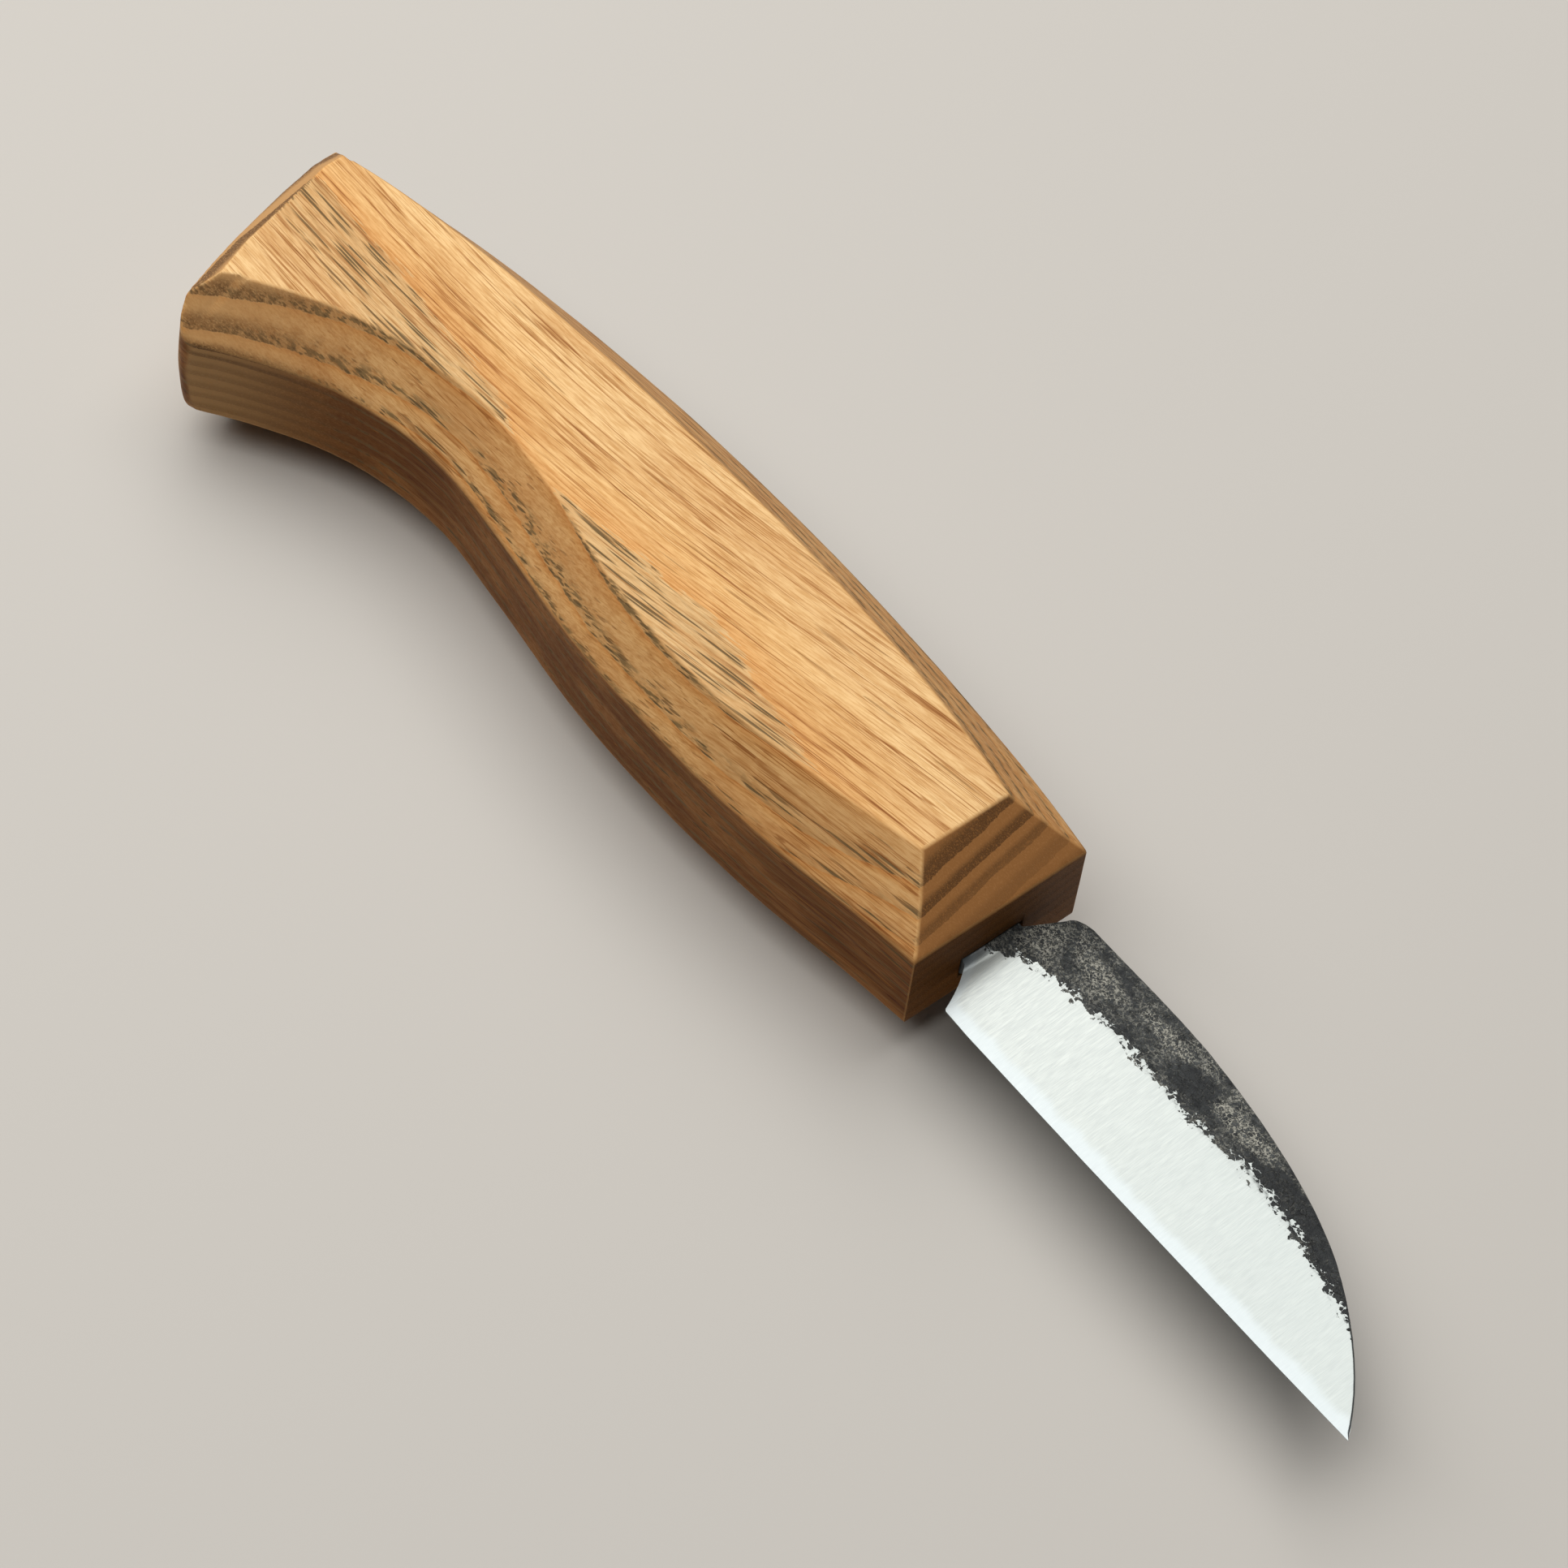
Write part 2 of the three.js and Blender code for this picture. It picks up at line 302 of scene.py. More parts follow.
def ring_number(x, y, z):
    """Which growth ring a point is in: 0 is the lower start, 1 the upper, and deeper rings are below 0."""
    level = z - RING_LEAN * y
    upper = smooth_curve(UPPER_START, x)
    lower = smooth_curve(LOWER_START, x)
    deep = -np.interp(lower - level, RING_DEPTHS, np.arange(len(RING_DEPTHS)))
    between = (level - lower) / (upper - lower)
    above = 1 + (level - upper) / TOP_RING
    return np.where(level < lower, deep, np.where(level < upper, between, above))


def grain_fields(mesh):
    """Wood needs to know, at each vertex, how far along its fibres it is, which ring it is in, how
    squarely the surface cuts across the fibres, and how steeply it slopes, which the wood darkens as
    painted shade."""
    x, y, z = to_knife(mesh_array(mesh.vertices, "co", 3)).T
    set_attribute(mesh, "grain", np.stack([x, y - smooth_curve(FIBRE_DRIFT, x), z], 1))
    set_attribute(mesh, "ring", ring_number(x, y, z))
    slope = smooth_curve(FIBRE_DRIFT, x + 1) - smooth_curve(FIBRE_DRIFT, x - 1)
    normals = mesh_array(mesh.vertices, "normal", 3)
    across = normals * np.stack([np.ones_like(x), slope / 2, 0 * x], 1)
    set_attribute(mesh, "end_grain", np.abs(across.sum(1)))
    # sloped faces get painted shade in the wood: 1 on steep faces, 0 on level ones
    set_attribute(mesh, "painted_slope_shade", 1 - step(0.8, 0.95, np.abs(normals[:, 2])))


# ---------------------------------------------------------------------------------------------------
# Blade: rings of points read off the CAD blade, with the forge scale's relief and a keen edge
# ---------------------------------------------------------------------------------------------------

# rings of points every COLUMN along the blade, from just inside the handle, and every TANG_COLUMN along
# the hidden tang; each has ROWS points on either face and WALL_ROWS across the back
COLUMN = 0.2
TANG_COLUMN = 4.0
FINE_FROM = -1.15
POINT_GAP = 0.012
ROWS = 88
WALL_ROWS = 5
SPINE_EASE = 0.3
# the shoulder by the handle, where the outline's slope isn't the back's
SHOULDER = 4
# half the thickness that the eased back and the point keep at least
THINNEST = 0.02
# the edge is keener than the CAD blade's: within this width of it, it thins down to this share of that
KEEN_WIDTH = 0.5
KEEN_SHARE = 0.25
# the grind runs out on to the full-thickness tang between these two distances from the handle, further
# out the nearer to the spine
RUN_OUT = (-0.1, 1.1)
RUN_OUT_LEAN = 0.12
TANG_ENDS = 0.85
# where the grind stops and the forge scale begins, from heel to point
SCALE_LINE = [(-2, -2.4), (0.2, -1.2), (2.5, 0.2), (6.5, 1.7), (13, 2.4), (19, 2.2), (27, 2.1),
              (36, 2.6), (43, 1.4), (48, 0.2), (53, -0.9), (63, -2.6)]
RAGGEDNESS = 1.1
DEEPEST_SCALE = 0.12
# smooth dark (negative) and pale speckled (positive) places in the scale: x, y, half length, half width
# and strength
PATCHES = [(10, 5.8, 4.5, 1.4, 0.7), (19.5, 6.6, 3.5, 1.0, 0.9), (31.5, 5.4, 5.0, 1.2, 1.0),
           (25, 5.0, 3.0, 2.0, -0.7), (41.5, 3.4, 7.0, 2.0, -1.0), (3, 4.2, 2.5, 3.0, 0.5),
           (53, 0.4, 9.0, 2.6, -1.0)]


def cad_reader(node):
    """Two functions that read the CAD solid: its lowest and highest y at an x, and its half thickness."""
    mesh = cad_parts[node].data
    points = mesh_array(mesh.vertices, "co", 3)
    tree = BVHTree.FromPolygons(points.tolist(), [list(p.vertices) for p in mesh.polygons])
    ends = to_knife(points)[mesh_array(mesh.edges, "vertices", 2, np.int32)]

    def limits(x):
        """The lowest and highest y of the solid at this x."""
        a, b = ends[:, 0], ends[:, 1]
        crossing = (a[:, 0] <= x) != (b[:, 0] <= x)
        a, b = a[crossing], b[crossing]
        y = a[:, 1] + (b[:, 1] - a[:, 1]) * (x - a[:, 0]) / (b[:, 0] - a[:, 0])
        return y.min(), y.max()

    def half_thickness(x, y):
        """From the blade's mid-plane up to its face."""
        start = Vector(to_row([x, y, 2 * HANDLE_THICK]))
        hit = tree.ray_cast(start, Vector((0, 0, -1)))[0]
        return 0.0 if hit is None else hit.z / MM - BLADE_MID_Z

    return limits, half_thickness


def row_shares():
    """Shares of the way from edge to spine, closer together at both ends where the corners are eased."""
    t = np.linspace(0, 1, ROWS)
    close = np.array([0.0, 0.002, 0.005, 0.01, 0.017])
    middle = np.linspace(close[-1], 1 - close[-1], ROWS - 2 * len(close) + 2)[1:-1]
    return np.concatenate([close, middle, 1 - close[::-1]])


def scale_fields(x, y, side):
    """How far inside the forge scale each point is, in mm and below 0 on bare steel, and how deep the
    scale's relief goes there."""
    points = np.stack([x, y, np.full_like(x, 9.0 * side)], 1)
    ragged = 0.5 * bumps(points * [0.8, 1, 1], 2.1, 3, seed=2) + 0.5 * bumps(points, 0.62, 3, seed=3)
    cover = (y - smooth_curve(SCALE_LINE, x)) + RAGGEDNESS * ragged
    # near the point the scale is thinner along the back too
    cover = cover - 1.2 * step(50, 60, x) * step(0.3, 2.0, y + 0.65 * (x - 52))
    dents = bumps(points, 3.4, 2, seed=4)
    pits = bumps(points, 0.7, 3, seed=5)
    return cover, 0.035 + 0.035 * dents + 0.03 * pits


def blade_columns():
    """The x of each ring of points: few along the hidden tang, many from the handle to the point."""
    tang_tip = to_knife(blade_low)[0]
    tang = np.arange(tang_tip + 0.01, FINE_FROM - 0.15, TANG_COLUMN)
    shown = np.arange(FINE_FROM, BLADE_REACH - 0.03, COLUMN)
    return np.concatenate([tang, shown, [BLADE_REACH - POINT_GAP]])


def steel_half(half_thickness, x, y, to_spine, from_edge):
    """Half the thickness of one section at each y, with the back eased over and the edge made keen."""
    inside = np.clip(y, y[0] + 0.004, y[-1] - 0.004)
    half = np.array([half_thickness(x, v) for v in inside])
    if RUN_OUT[0] < x < RUN_OUT[1]:
        ground = np.array([half_thickness(max(x, TANG_ENDS), v) for v in inside])
        share = step(*RUN_OUT, x - RUN_OUT_LEAN * (y + 1))
        half = ground + (BLADE_HALF_THICK - ground) * (1 - share)
    ease = min(SPINE_EASE, 0.45 * (y[-1] - y[0]) + 0.001)
    drop = ease - np.sqrt(np.maximum(ease ** 2 - np.maximum(ease - to_spine, 0) ** 2, 0))
    half = np.maximum(half - drop, THINNEST)
    return half * (KEEN_SHARE + (1 - KEEN_SHARE) * step(0.0, KEEN_WIDTH, from_edge))


def steel_ring(x, y, half):
    """One closed ring of points: up the upper face to the back, down across it, and back along the lower
    face. Each point comes with its scale cover and its distance from the section's lowest y."""
    sides = []
    for side in (1, -1):
        cover, depth = scale_fields(np.full_like(y, x), y, side)
        left = step(-0.02, 0.14, cover) * step(-3, 0, x)
        z = half - left * np.clip(depth, 0.0, DEEPEST_SCALE) * step(0.02, 0.3, half)
        sides.append((side * z, cover))
    (top_z, top_cover), (under_z, under_cover) = sides
    wall_z = np.linspace(top_z[-1], under_z[-1], WALL_ROWS + 2)[1:-1]
    ring_y = np.concatenate([y, np.full(WALL_ROWS, y[-1]), y[::-1]])
    ring_z = np.concatenate([top_z, wall_z, under_z[::-1]])
    ring_cover = np.concatenate([top_cover, np.full(WALL_ROWS, top_cover[-1]), under_cover[::-1]])
    points = np.stack([np.full_like(ring_y, x), ring_y, ring_z + BLADE_MID_Z], 1)
    return points, np.stack([ring_cover, ring_y - y[0]], 1)


def ring_faces(count, size):
    """Faces between each ring of points and the next, and one at each end."""
    faces = []
    for i in range(count - 1):
        for j in range(size):
            k = (j + 1) % size
            faces.append((i * size + j, i * size + k, (i + 1) * size + k, (i + 1) * size + j))
    faces.append(tuple(range(size))[::-1])
    faces.append(tuple(range((count - 1) * size, count * size)))
    return faces


def pale_places(points):
    """How pale (positive) or smooth and dark (negative) the scale is at each point."""
    pale = np.zeros(len(points))
    for x, y, length, width, strength in PATCHES:
        away = np.hypot((points[:, 0] - x) / length, (points[:, 1] - y) / width)
        pale += strength * (1 - step(0.3, 1.2, away))
    return pale


def blade_mesh():
    """The forged blade and its tang, with what the steel needs to know at each vertex."""
    limits, half_thickness = cad_reader("blade")
    columns = blade_columns()
    shares = row_shares()
    outline = np.array([limits(x) for x in columns])
    lean = np.gradient(outline[:, 1], columns)
    lean[columns < SHOULDER] = 0
    edge_y = outline[:, 0].min()
    rings, fields = [], []
    for (low, high), x, slope in zip(outline, columns, lean):
        y = low + (high - low) * shares
        half = steel_half(half_thickness, x, y, (high - y) / math.hypot(1, slope), y - edge_y)
        points, values = steel_ring(x, y, half)
        rings.append(points)
        fields.append(values)
    points = np.concatenate(rings)
    cover, from_edge = np.concatenate(fields).T
    mesh = bpy.data.meshes.new("blade_steel")
    mesh.from_pydata(to_row(points).tolist(), [], ring_faces(len(rings), len(rings[0])))
    keep_inside(mesh, "blade")
    mesh.polygons.foreach_set("use_smooth", [True] * len(mesh.polygons))
    mesh.set_sharp_from_angle(angle=math.radians(38))
    set_attribute(mesh, "cover", cover)
    set_attribute(mesh, "from_edge", from_edge)
    set_attribute(mesh, "place", points)
    set_attribute(mesh, "pale", pale_places(points))
    return mesh


# ---------------------------------------------------------------------------------------------------
# Materials
# ---------------------------------------------------------------------------------------------------

class Shader:
    """A node material written as calls: each adds one node and gives back the socket that is wanted."""

    def __init__(self, name):
        self.material = bpy.data.materials.new(name)
        self.material.use_nodes = True
        self.tree = self.material.node_tree
        self.surface = self.tree.nodes["Principled BSDF"]

    def join(self, socket, value):
        """Link a socket to another, or set it to a constant."""
        if isinstance(value, bpy.types.NodeSocket):
            self.tree.links.new(value, socket)
        else:
            socket.default_value = value

    def add(self, kind, inputs, output=0, **settings):
        node = self.tree.nodes.new("ShaderNode" + kind)
        for key, value in settings.items():
            setattr(node, key, value)
        for key, value in inputs.items():
            self.join(node.inputs[key], value)
        return node.outputs[output]

    def number(self, name):
        return self.add("Attribute", {}, "Fac", attribute_name=name)

    def vector(self, name):
        return self.add("Attribute", {}, "Vector", attribute_name=name)

    def maths(self, operation, *values):
        return self.add("Math", dict(enumerate(values)), operation=operation)

    def stretch(self, vector, factors):
        return self.add("VectorMath", {0: vector, 1: factors}, operation="MULTIPLY")

    def noise(self, vector, scale, detail=2.0, roughness=0.5):
        inputs = {"Vector": vector, "Scale": scale, "Detail": detail, "Roughness": roughness}
        return self.add("TexNoise", inputs, "Fac")

    def cells(self, vector, scale, output="Distance", feature="F1"):
        return self.add("TexVoronoi", {"Vector": vector, "Scale": scale}, output, feature=feature)

    def sway(self, vector, scale, amount):
        """The vector pushed about by soft noise, from nothing up to the amount along each axis."""
        push = self.add("TexNoise", {"Vector": vector, "Scale": scale}, "Color")
        return self.add("VectorMath", {0: push, 1: (amount,) * 3, 2: vector}, operation="MULTIPLY_ADD")

    def rise(self, value, low, high, start=0.0, end=1.0):
        """start below low, end above high, and smooth between them."""
        inputs = {"Value": value, "From Min": low, "From Max": high, "To Min": start, "To Max": end}
        return self.add("MapRange", inputs, interpolation_type="SMOOTHSTEP")

    def ramp(self, value, stops):
        socket = self.add("ValToRGB", {"Fac": value})
        elements = socket.node.color_ramp.elements
        while len(elements) < len(stops):
            elements.new(0.5)
        for element, (position, colour) in zip(elements, stops):
            element.position = position
            element.color = (*colour, 1)
        return socket

    def mix(self, share, first, second, blend="MIX"):
        node = self.tree.nodes.new("ShaderNodeMix")
        node.data_type = "RGBA"
        node.blend_type = blend
        for socket, value in zip((node.inputs[0], node.inputs[6], node.inputs[7]), (share, first, second)):
            self.join(socket, (*value, 1) if isinstance(value, tuple) else value)
        return node.outputs[2]

    def bump(self, height, distance, normal=None):
        """Relief with the given height in mm for a height value of 1."""
        inputs = {"Height": height, "Distance": distance * MM}
        if normal is not None:
            inputs["Normal"] = normal
        return self.add("Bump", inputs)

    def finish(self, **sockets):
        """Fill the surface's sockets, named with underscores for spaces, and give back the material."""
        for name, value in sockets.items():
            self.join(self.surface.inputs[name.replace("_", " ")], value)
        return self.material


def srgb(red, green, blue):
    """A colour given as 0 to 255 sRGB, in the linear values that shaders take."""
    def linear(c):
        c = c / 255
        return c / 12.92 if c <= 0.04045 else ((c + 0.055) / 1.055) ** 2.4
    return tuple(linear(c) for c in (red, green, blue))


def ring_bands(s, grain, wander):
    """How far through its ring each place is, and how much it belongs to the band of early wood above the
    ring's start and to the wider band where pores thin out."""
    streaky = s.noise(s.stretch(grain, (0.2, 3.0, 3.0)), 1.0, 3.0, 0.6)
    ring = s.maths("MULTIPLY_ADD", s.maths("SUBTRACT", wander, 0.5), 0.12, s.number("ring"))
    ring = s.maths("MULTIPLY_ADD", s.maths("SUBTRACT", streaky, 0.5), 0.14, ring)
    phase = s.maths("FRACT", ring)
    start = s.rise(phase, 0.0, 0.03)
    early = s.maths("MULTIPLY", start, s.rise(phase, 0.16, 0.42, 1.0, 0.0))
    sparse = s.maths("MULTIPLY", start, s.rise(phase, 0.3, 0.7, 1.0, 0.0))
    return phase, early, sparse


def painted_shade_share(s, grain, wander):
    """Painted shade: below about the height of the belly side's upper edge the pale wood is painted a
    darker brown, standing in for the shade on the lower sides and the front face; it fades again towards
    the underside.
    """
    height = s.add("SeparateXYZ", {0: grain}, "Z")
    height = s.maths("MULTIPLY_ADD", s.maths("SUBTRACT", wander, 0.5), 1.2, height)
    below_sap = s.rise(height, 15.8, 16.8, 1.0, 0.0)
    return s.maths("MULTIPLY", below_sap, s.rise(height, 4.0, 7.0, 0.35, 1.0))


def plain_wood(s, grain, phase, painted_shade, felt):
    """Pale sapwood, painted a darker brown lower down as painted shade, before any pore or line."""
    sap = s.ramp(phase, [(0.0, srgb(222, 184, 130)), (0.3, srgb(228, 190, 136)), (0.7, srgb(236, 198, 142)),
                         (0.88, srgb(232, 188, 127)), (1.0, srgb(221, 166, 102))])
    # the darker brown here is painted shade on the lower sides, not heartwood
    ground = s.mix(painted_shade, sap, srgb(129, 82, 24))
    broad = s.noise(s.stretch(grain, (0.04, 0.3, 0.3)), 1.0, 2.0)
    ground = s.mix(s.rise(broad, 0.42, 0.66, 0.0, 0.4), ground, srgb(206, 154, 94))
    # painted shade: sloped faces are painted darker
    ground = s.mix(s.maths("MULTIPLY", s.number("painted_slope_shade"), 0.8), ground, srgb(212, 194, 172), "MULTIPLY")
    return s.mix(s.rise(felt, 0.38, 0.66, 0.0, 0.8), ground, srgb(228, 212, 190), "MULTIPLY")


def fine_lines(s, grain, across, ground):
    """Hairlines that follow the fibres for a long way, and darker streaks."""
    along = s.rise(across, 0.03, 0.16, 1.0, 0.25)
    broken = s.rise(s.noise(s.stretch(grain, (0.07, 1.6, 1.6)), 1.0, 2.0), 0.42, 0.54, 0.1, 1.0)
    broken = s.maths("MULTIPLY", broken, along)
    for reach, spread, width in ((0.014, 0.9, 0.024), (0.024, 1.9, 0.036)):
        sheet = s.noise(s.stretch(grain, (reach, spread, spread)), 1.0, 2.0, 0.45)
        off = s.maths("ABSOLUTE", s.maths("SUBTRACT", sheet, 0.5))
        hairline = s.maths("MULTIPLY", s.rise(off, width * 0.35, width, 1.0, 0.0), broken)
        ground = s.mix(hairline, ground, srgb(210, 190, 168), "MULTIPLY")
    streak = s.noise(s.stretch(grain, (0.03, 1.2, 1.2)), 1.0, 4.0, 0.6)
    return s.mix(s.rise(streak, 0.48, 0.66, 0.0, 0.6), ground, srgb(230, 214, 194), "MULTIPLY")


def vessels(s, grain, across, early, sparse, ground):
    """Open pores: cells stretched along the grain, each a dash where the surface cuts it, in a band that
    is darker in blotches. Gives back the colour and where the pores are."""
    room = s.sway(s.stretch(grain, (0.11, 3.3, 3.3)), 0.6, 1.0)
    chance = s.add("SeparateColor", {0: s.cells(room, 1.0, "Color")})
    wanted = s.maths("MULTIPLY_ADD", early, 0.52, s.maths("MULTIPLY_ADD", sparse, 0.14, 0.1))
    present = s.rise(s.maths("SUBTRACT", wanted, chance), 0.0, 0.06)
    open_pore = s.rise(s.cells(room, 1.0), 0.28, 0.48, 1.0, 0.0)
    pores = s.maths("MULTIPLY", present, open_pore)
    dusky = s.maths("MAXIMUM", early, s.maths("MULTIPLY", sparse, 0.6))
    pore_colour = s.mix(dusky, srgb(156, 106, 58), srgb(88, 72, 46))
    blotch = s.rise(s.noise(s.stretch(grain, (0.3, 2.0, 2.0)), 1.0, 3.0, 0.6), 0.47, 0.6)
    blotch = s.maths("MULTIPLY", s.maths("MULTIPLY", early, blotch), s.rise(across, 0.02, 0.14, 0.15, 0.85))
    colour = s.mix(s.maths("MULTIPLY", early, 0.12), ground, srgb(170, 136, 90))
    colour = s.mix(blotch, colour, srgb(104, 84, 52))
    colour = s.mix(s.maths("MULTIPLY", pores, s.rise(early, 0.0, 1.0, 0.6, 0.85)), colour, pore_colour)
    return colour, pores


def cut_wood(s, grain, painted_shade, sparse):
    """The colour across the fibres, where the wood drinks more oil and the bands show as specks, and which
    is painted darker lower down as painted shade. The butt's sanded end stays paler."""
    speck = s.noise(s.stretch(grain, (2.0, 6.0, 6.0)), 1.0, 3.0, 0.65)
    # the darker lower part of the cut faces is painted shade
    cut = s.mix(painted_shade, srgb(156, 107, 60), srgb(114, 70, 26))
    from_front = s.add("SeparateXYZ", {0: grain}, "X")
    cut = s.mix(s.rise(from_front, -108.0, -90.0, 0.5, 0.0), cut, srgb(206, 166, 112))
    band = s.maths("MULTIPLY", sparse, s.rise(s.number("ring"), -3.0, -0.6, 0.35, 1.0))
    cut = s.mix(s.maths("MULTIPLY", band, s.rise(speck, 0.34, 0.56, 0.3, 0.95)), cut, srgb(74, 48, 26))
    return s.mix(s.rise(speck, 0.46, 0.7, 0.0, 0.35), cut, srgb(184, 132, 82))


def wood_material():
    """Oiled ring-porous wood: dark open pores above each ring's start, and fine long lines elsewhere."""
    s = Shader("oiled_wood")
    grain = s.vector("grain")
    across = s.number("end_grain")
    wander = s.noise(s.stretch(grain, (0.07, 0.4, 0.4)), 1.0, 3.0, 0.55)
    felt = s.noise(s.stretch(grain, (0.45, 5.0, 5.0)), 1.0, 3.0, 0.65)
    phase, early, sparse = ring_bands(s, grain, wander)
    # painted shade: the handle is painted a darker brown below the belly side's upper edge
    painted_shade = painted_shade_share(s, grain, wander)
    ground = plain_wood(s, grain, phase, painted_shade, felt)
    ground = fine_lines(s, grain, across, ground)
    colour, pores = vessels(s, grain, across, early, sparse, ground)
    colour = s.mix(s.rise(across, 0.12, 0.6), colour, cut_wood(s, grain, painted_shade, sparse))
    # rounded-over edges are painted lighter: partly worn wood, partly a painted highlight where the rounded
    # edges catch the light
    colour = s.mix(s.maths("MULTIPLY", s.number("rounded"), 0.22), colour, srgb(222, 172, 110))
    relief = s.maths("MULTIPLY_ADD", pores, -1.0, s.maths("MULTIPLY", felt, 0.4))
    relief = s.maths("MULTIPLY", relief, s.rise(across, 0.1, 0.3, 1.0, 0.0))
    normal = s.bump(relief, 0.05)
    gloss = s.maths("MULTIPLY_ADD", pores, 0.2, s.rise(felt, 0.3, 0.7, 0.5, 0.62))
    return s.finish(Base_Color=colour, Roughness=gloss, Specular_IOR_Level=0.14, Normal=normal)


def scale_plates(s, place):
    """Plates of scale: a number for each plate, how far its seam is, and how far a smaller seam is."""
    crooked = s.stretch(s.sway(place, 1.6, 0.7), (0.8, 1.2, 1.0))
    plate = s.add("SeparateColor", {0: s.cells(crooked, 1.5, "Color")})
    seam = s.cells(crooked, 1.5, feature="DISTANCE_TO_EDGE")
    smaller = s.stretch(s.sway(place, 2.5, 0.5), (0.9, 1.2, 1.0))
    small_seam = s.cells(smaller, 2.3, feature="DISTANCE_TO_EDGE")
    return plate, seam, small_seam


def scale_share(s, place, plate, seam):
    """1 where scale covers the steel and 0 where the grind has bared it, with a tattered line between."""
    tatter = s.noise(place, 1.5, 5.0, 0.75)
    cover = s.maths("MULTIPLY_ADD", s.maths("SUBTRACT", tatter, 0.5), 2.6, s.number("cover"))
    cover = s.maths("MULTIPLY_ADD", s.maths("SUBTRACT", plate, 0.5), 1.3, cover)
    cover = s.maths("SUBTRACT", cover, s.rise(seam, 0.02, 0.14, 0.25, 0.0))
    return s.rise(cover, -0.03, 0.03)


def ground_steel(s, place, lines, from_heel):
    """Ground steel, with fine lines square to the edge, a brighter honed strip along it, and painted shade
    right by the handle.
    """
    furrows = s.noise(s.stretch(place, (3.4, 0.12, 0.3)), 1.0, 3.0, 0.6)
    clouds = s.noise(s.stretch(place, (0.5, 0.2, 0.3)), 1.0, 3.0)
    steel = s.mix(s.rise(lines, 0.36, 0.62), srgb(151, 156, 155), srgb(163, 168, 166))
    steel = s.mix(s.rise(furrows, 0.38, 0.64, 0.35, 0.0), steel, srgb(146, 152, 151))
    steel = s.mix(s.rise(from_heel, 0.0, 50.0, 0.0, 0.5), steel, srgb(146, 153, 153))
    # painted shade: the steel is painted darker within about a mm of the handle, which shades it
    steel = s.mix(s.rise(from_heel, 0.0, 0.8, 0.7, 0.0), steel, srgb(104, 106, 110))
    honed = s.maths("MULTIPLY_ADD", s.maths("SUBTRACT", clouds, 0.5), 1.6, s.number("from_edge"))
    honed = s.rise(honed, 0.9, 2.1, 0.6, 0.0)
    return s.mix(honed, steel, srgb(164, 172, 176))


def black_scale(s, place, plates, crust, speckle):
    """Black scale in curling plates, whose lifted rims are painted pale: a painted highlight where they
    catch the light. Gives back the colour and where the rims are."""
    plate, seam, small_seam = plates
    pale = s.maths("SUBTRACT", s.number("pale"), 0.5)
    pale = s.maths("MULTIPLY_ADD", s.noise(place, 0.35, 2.0), 1.2, pale)
    pale = s.rise(pale, -0.6, 1.0)
    rim = s.maths("MULTIPLY", s.rise(seam, 0.04, 0.15, 1.0, 0.0), s.rise(plate, 0.3, 0.5))
    small_rim = s.maths("MULTIPLY", s.rise(small_seam, 0.05, 0.17, 1.0, 0.0), s.rise(pale, 0.2, 0.6))
    rim = s.maths("MULTIPLY", s.maths("MAXIMUM", rim, small_rim), s.rise(speckle, 0.42, 0.5))
    black = s.mix(s.rise(crust, 0.35, 0.65), srgb(34, 37, 40), srgb(66, 70, 72))
    black = s.mix(s.rise(pale, 0.1, 0.45, 0.55, 0.0), black, srgb(34, 36, 38))
    black = s.mix(s.maths("MULTIPLY", plate, s.rise(pale, 0.0, 1.0, 0.15, 0.7)), black, srgb(104, 108, 108))
    # painted highlight on the lifted rims of the scale
    black = s.mix(s.maths("MULTIPLY", rim, s.rise(pale, 0.0, 1.0, 0.1, 1.0)), black, srgb(188, 187, 176))
    return black, rim


def steel_material():
    """Satin ground steel below, black forge scale above, meeting at a ragged line."""
    s = Shader("forged_steel")
    place = s.vector("place")
    from_heel = s.add("SeparateXYZ", {0: place}, "X")
    plate, seam, small_seam = scale_plates(s, place)
    scale = scale_share(s, place, plate, seam)
    lines = s.noise(s.stretch(place, (11.0, 0.5, 0.3)), 1.0, 3.0, 0.65)
    crust = s.noise(place, 1.3, 6.0, 0.75)
    speckle = s.noise(place, 2.8, 5.0, 0.8)
    black, rim = black_scale(s, place, (plate, seam, small_seam), crust, speckle)
    colour = s.mix(scale, ground_steel(s, place, lines, from_heel), black)
    metal = s.maths("MULTIPLY_ADD", scale, -0.75, 1.0)
    steel_gloss = s.maths("ADD", s.rise(lines, 0.3, 0.7, 0.33, 0.28), s.rise(from_heel, 0.2, 1.8, 0.3, 0.0))
    scale_gloss = s.rise(crust, 0.35, 0.65, 0.38, 0.6)
    gloss = s.add("Mix", {0: scale, 2: steel_gloss, 3: scale_gloss})
    lifted = s.maths("ADD", s.maths("MULTIPLY_ADD", speckle, 0.4, crust), s.maths("MULTIPLY", plate, 0.4))
    crusty = s.bump(s.maths("MULTIPLY", s.maths("MULTIPLY_ADD", rim, 0.3, lifted), scale), 0.3)
    normal = s.bump(s.maths("MULTIPLY", lines, s.maths("SUBTRACT", 1.0, scale)), 0.004, crusty)
    return s.finish(Base_Color=colour, Metallic=metal, Roughness=gloss, Normal=normal)


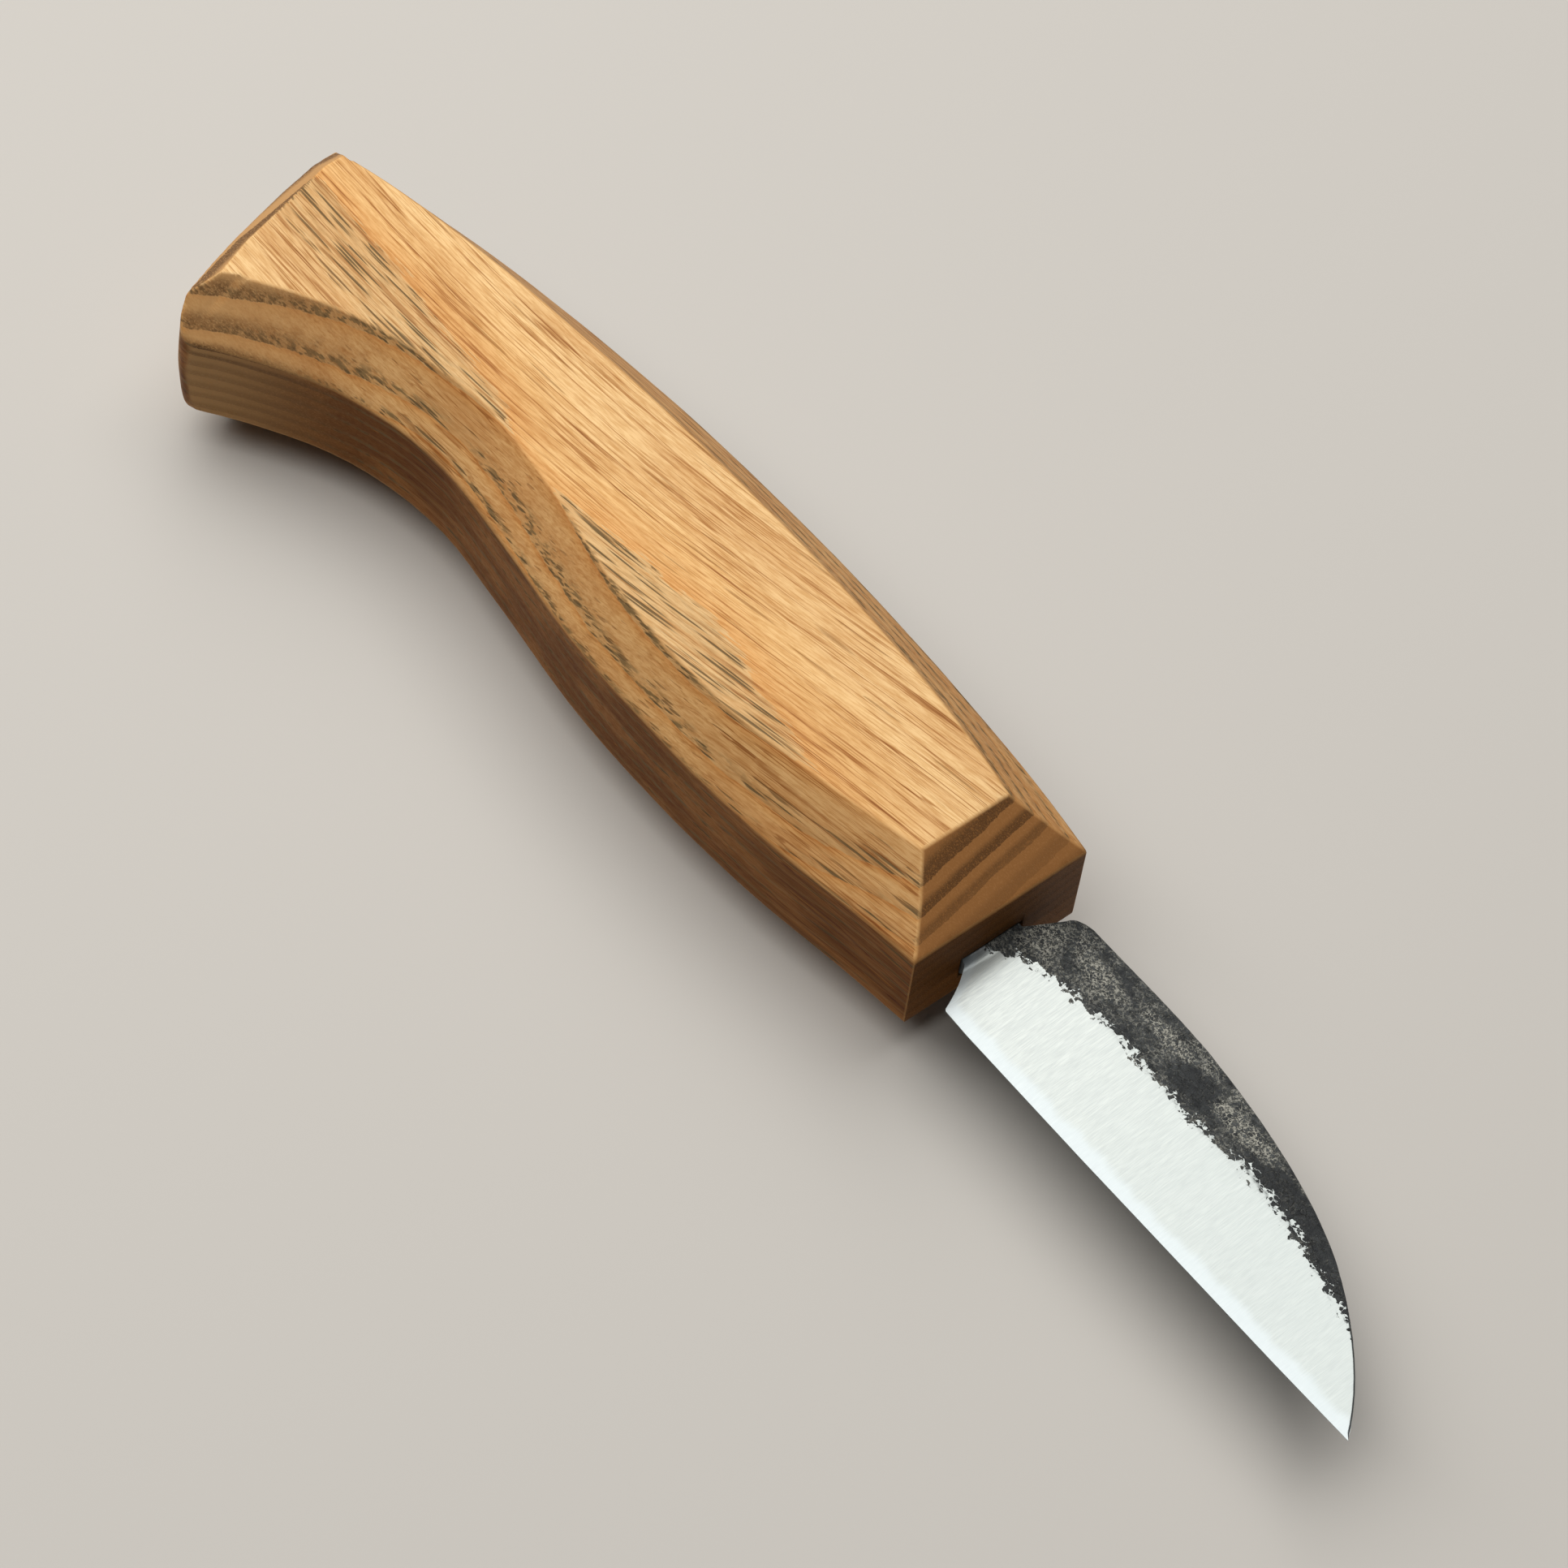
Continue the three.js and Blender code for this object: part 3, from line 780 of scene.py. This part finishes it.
def epoxy_material():
    """Cured amber epoxy with a few bubbles."""
    s = Shader("amber_epoxy")
    place = s.add("TexCoord", {}, "Object")
    cloud = s.noise(place, 260.0, 3.0)
    bubble = s.rise(s.cells(place, 900.0), 0.12, 0.2, 1.0, 0.0)
    colour = s.mix(s.rise(cloud, 0.35, 0.65), srgb(150, 96, 34), srgb(186, 130, 58))
    colour = s.mix(s.maths("MULTIPLY", bubble, 0.5), colour, srgb(226, 190, 128))
    normal = s.bump(bubble, -0.08)
    return s.finish(Base_Color=colour, Roughness=s.rise(cloud, 0.3, 0.7, 0.2, 0.34), Normal=normal)


# ---------------------------------------------------------------------------------------------------
# The pieces
# ---------------------------------------------------------------------------------------------------

handle, wood_mesh = handle_mesh()
grain_fields(wood_mesh)
wood_mesh.materials.clear()
wood_mesh.materials.append(wood_material())
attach(handle, "root")
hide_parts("handle")

blade = new_piece("forged_blade", blade_mesh())
blade.data.materials.append(steel_material())
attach(blade, "root")
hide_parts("blade")

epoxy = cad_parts["tang_epoxy"]
epoxy.material_slots[0].material = epoxy_material()

# ---------------------------------------------------------------------------------------------------
# Studio
# ---------------------------------------------------------------------------------------------------

FLOOR_HALF = 1.5
# the camera stands on the edge's side, turned towards the point, and looks down: angles in degrees,
# distances in mm, and the place it looks at from the datum
CAMERA_AROUND = 44.44
CAMERA_ABOVE = 54.16
CAMERA_ROLL = 7.98
CAMERA_DISTANCE = 485.8
CAMERA_TARGET = (-32.72, 0.46, 0)
CAMERA_SENSOR = 36
CAMERA_LENS = 106.2


def add_floor():
    """A plain pale floor, level with the surface that the knife lies on."""
    bm = bmesh.new()
    bmesh.ops.create_grid(bm, x_segments=1, y_segments=1, size=FLOOR_HALF)
    mesh = bpy.data.meshes.new("floor")
    bm.to_mesh(mesh)
    floor = new_piece("floor", mesh)
    s = Shader("pale_floor")
    mesh.materials.append(s.finish(Base_Color=(*srgb(192, 189, 184), 1), Roughness=0.85))


def add_light(name, direction, distance, size, power, colour):
    """A square soft light that faces the knife from the given direction."""
    data = bpy.data.lights.new(name, "AREA")
    data.size = size
    data.energy = power
    data.color = colour
    light = bpy.data.objects.new(name, data)
    bpy.context.scene.collection.objects.link(light)
    towards = Vector(direction).normalized()
    light.location = DATUM + towards * distance
    light.rotation_euler = towards.to_track_quat("Z", "Y").to_euler()


def add_camera():
    """The view from above and in front, on the blade's edge side, with the camera rolled a little."""
    around, above, roll = (math.radians(a) for a in (CAMERA_AROUND, CAMERA_ABOVE, CAMERA_ROLL))
    level_back = Vector((math.sin(around), -math.cos(around), 0))
    back = level_back * math.cos(above) + Vector((0, 0, math.sin(above)))
    level = Vector((0, 0, 1)).cross(back).normalized()
    upright = back.cross(level)
    right = level * math.cos(roll) + upright * math.sin(roll)
    up = upright * math.cos(roll) - level * math.sin(roll)
    data = bpy.data.cameras.new("camera")
    data.sensor_width = CAMERA_SENSOR
    data.lens = CAMERA_LENS
    camera = bpy.data.objects.new("camera", data)
    bpy.context.scene.collection.objects.link(camera)
    stand = DATUM + (Vector(CAMERA_TARGET) + back * CAMERA_DISTANCE) * MM
    turn = Matrix((right, up, back)).transposed().to_4x4()
    camera.matrix_world = Matrix.Translation(stand) @ turn
    bpy.context.scene.camera = camera


def add_world():
    """A faint cool light from all round."""
    world = bpy.data.worlds.new("soft_room")
    world.use_nodes = True
    background = world.node_tree.nodes["Background"]
    background.inputs["Color"].default_value = (0.86, 0.93, 1.0, 1)
    background.inputs["Strength"].default_value = 0.05
    bpy.context.scene.world = world


add_floor()
add_light("key", direction=(-0.42, 0.03, 0.9), distance=0.8, size=1.3, power=14.0,
          colour=(1.0, 0.975, 0.94))
add_camera()
add_world()
bpy.context.scene.view_settings.view_transform = "Standard"
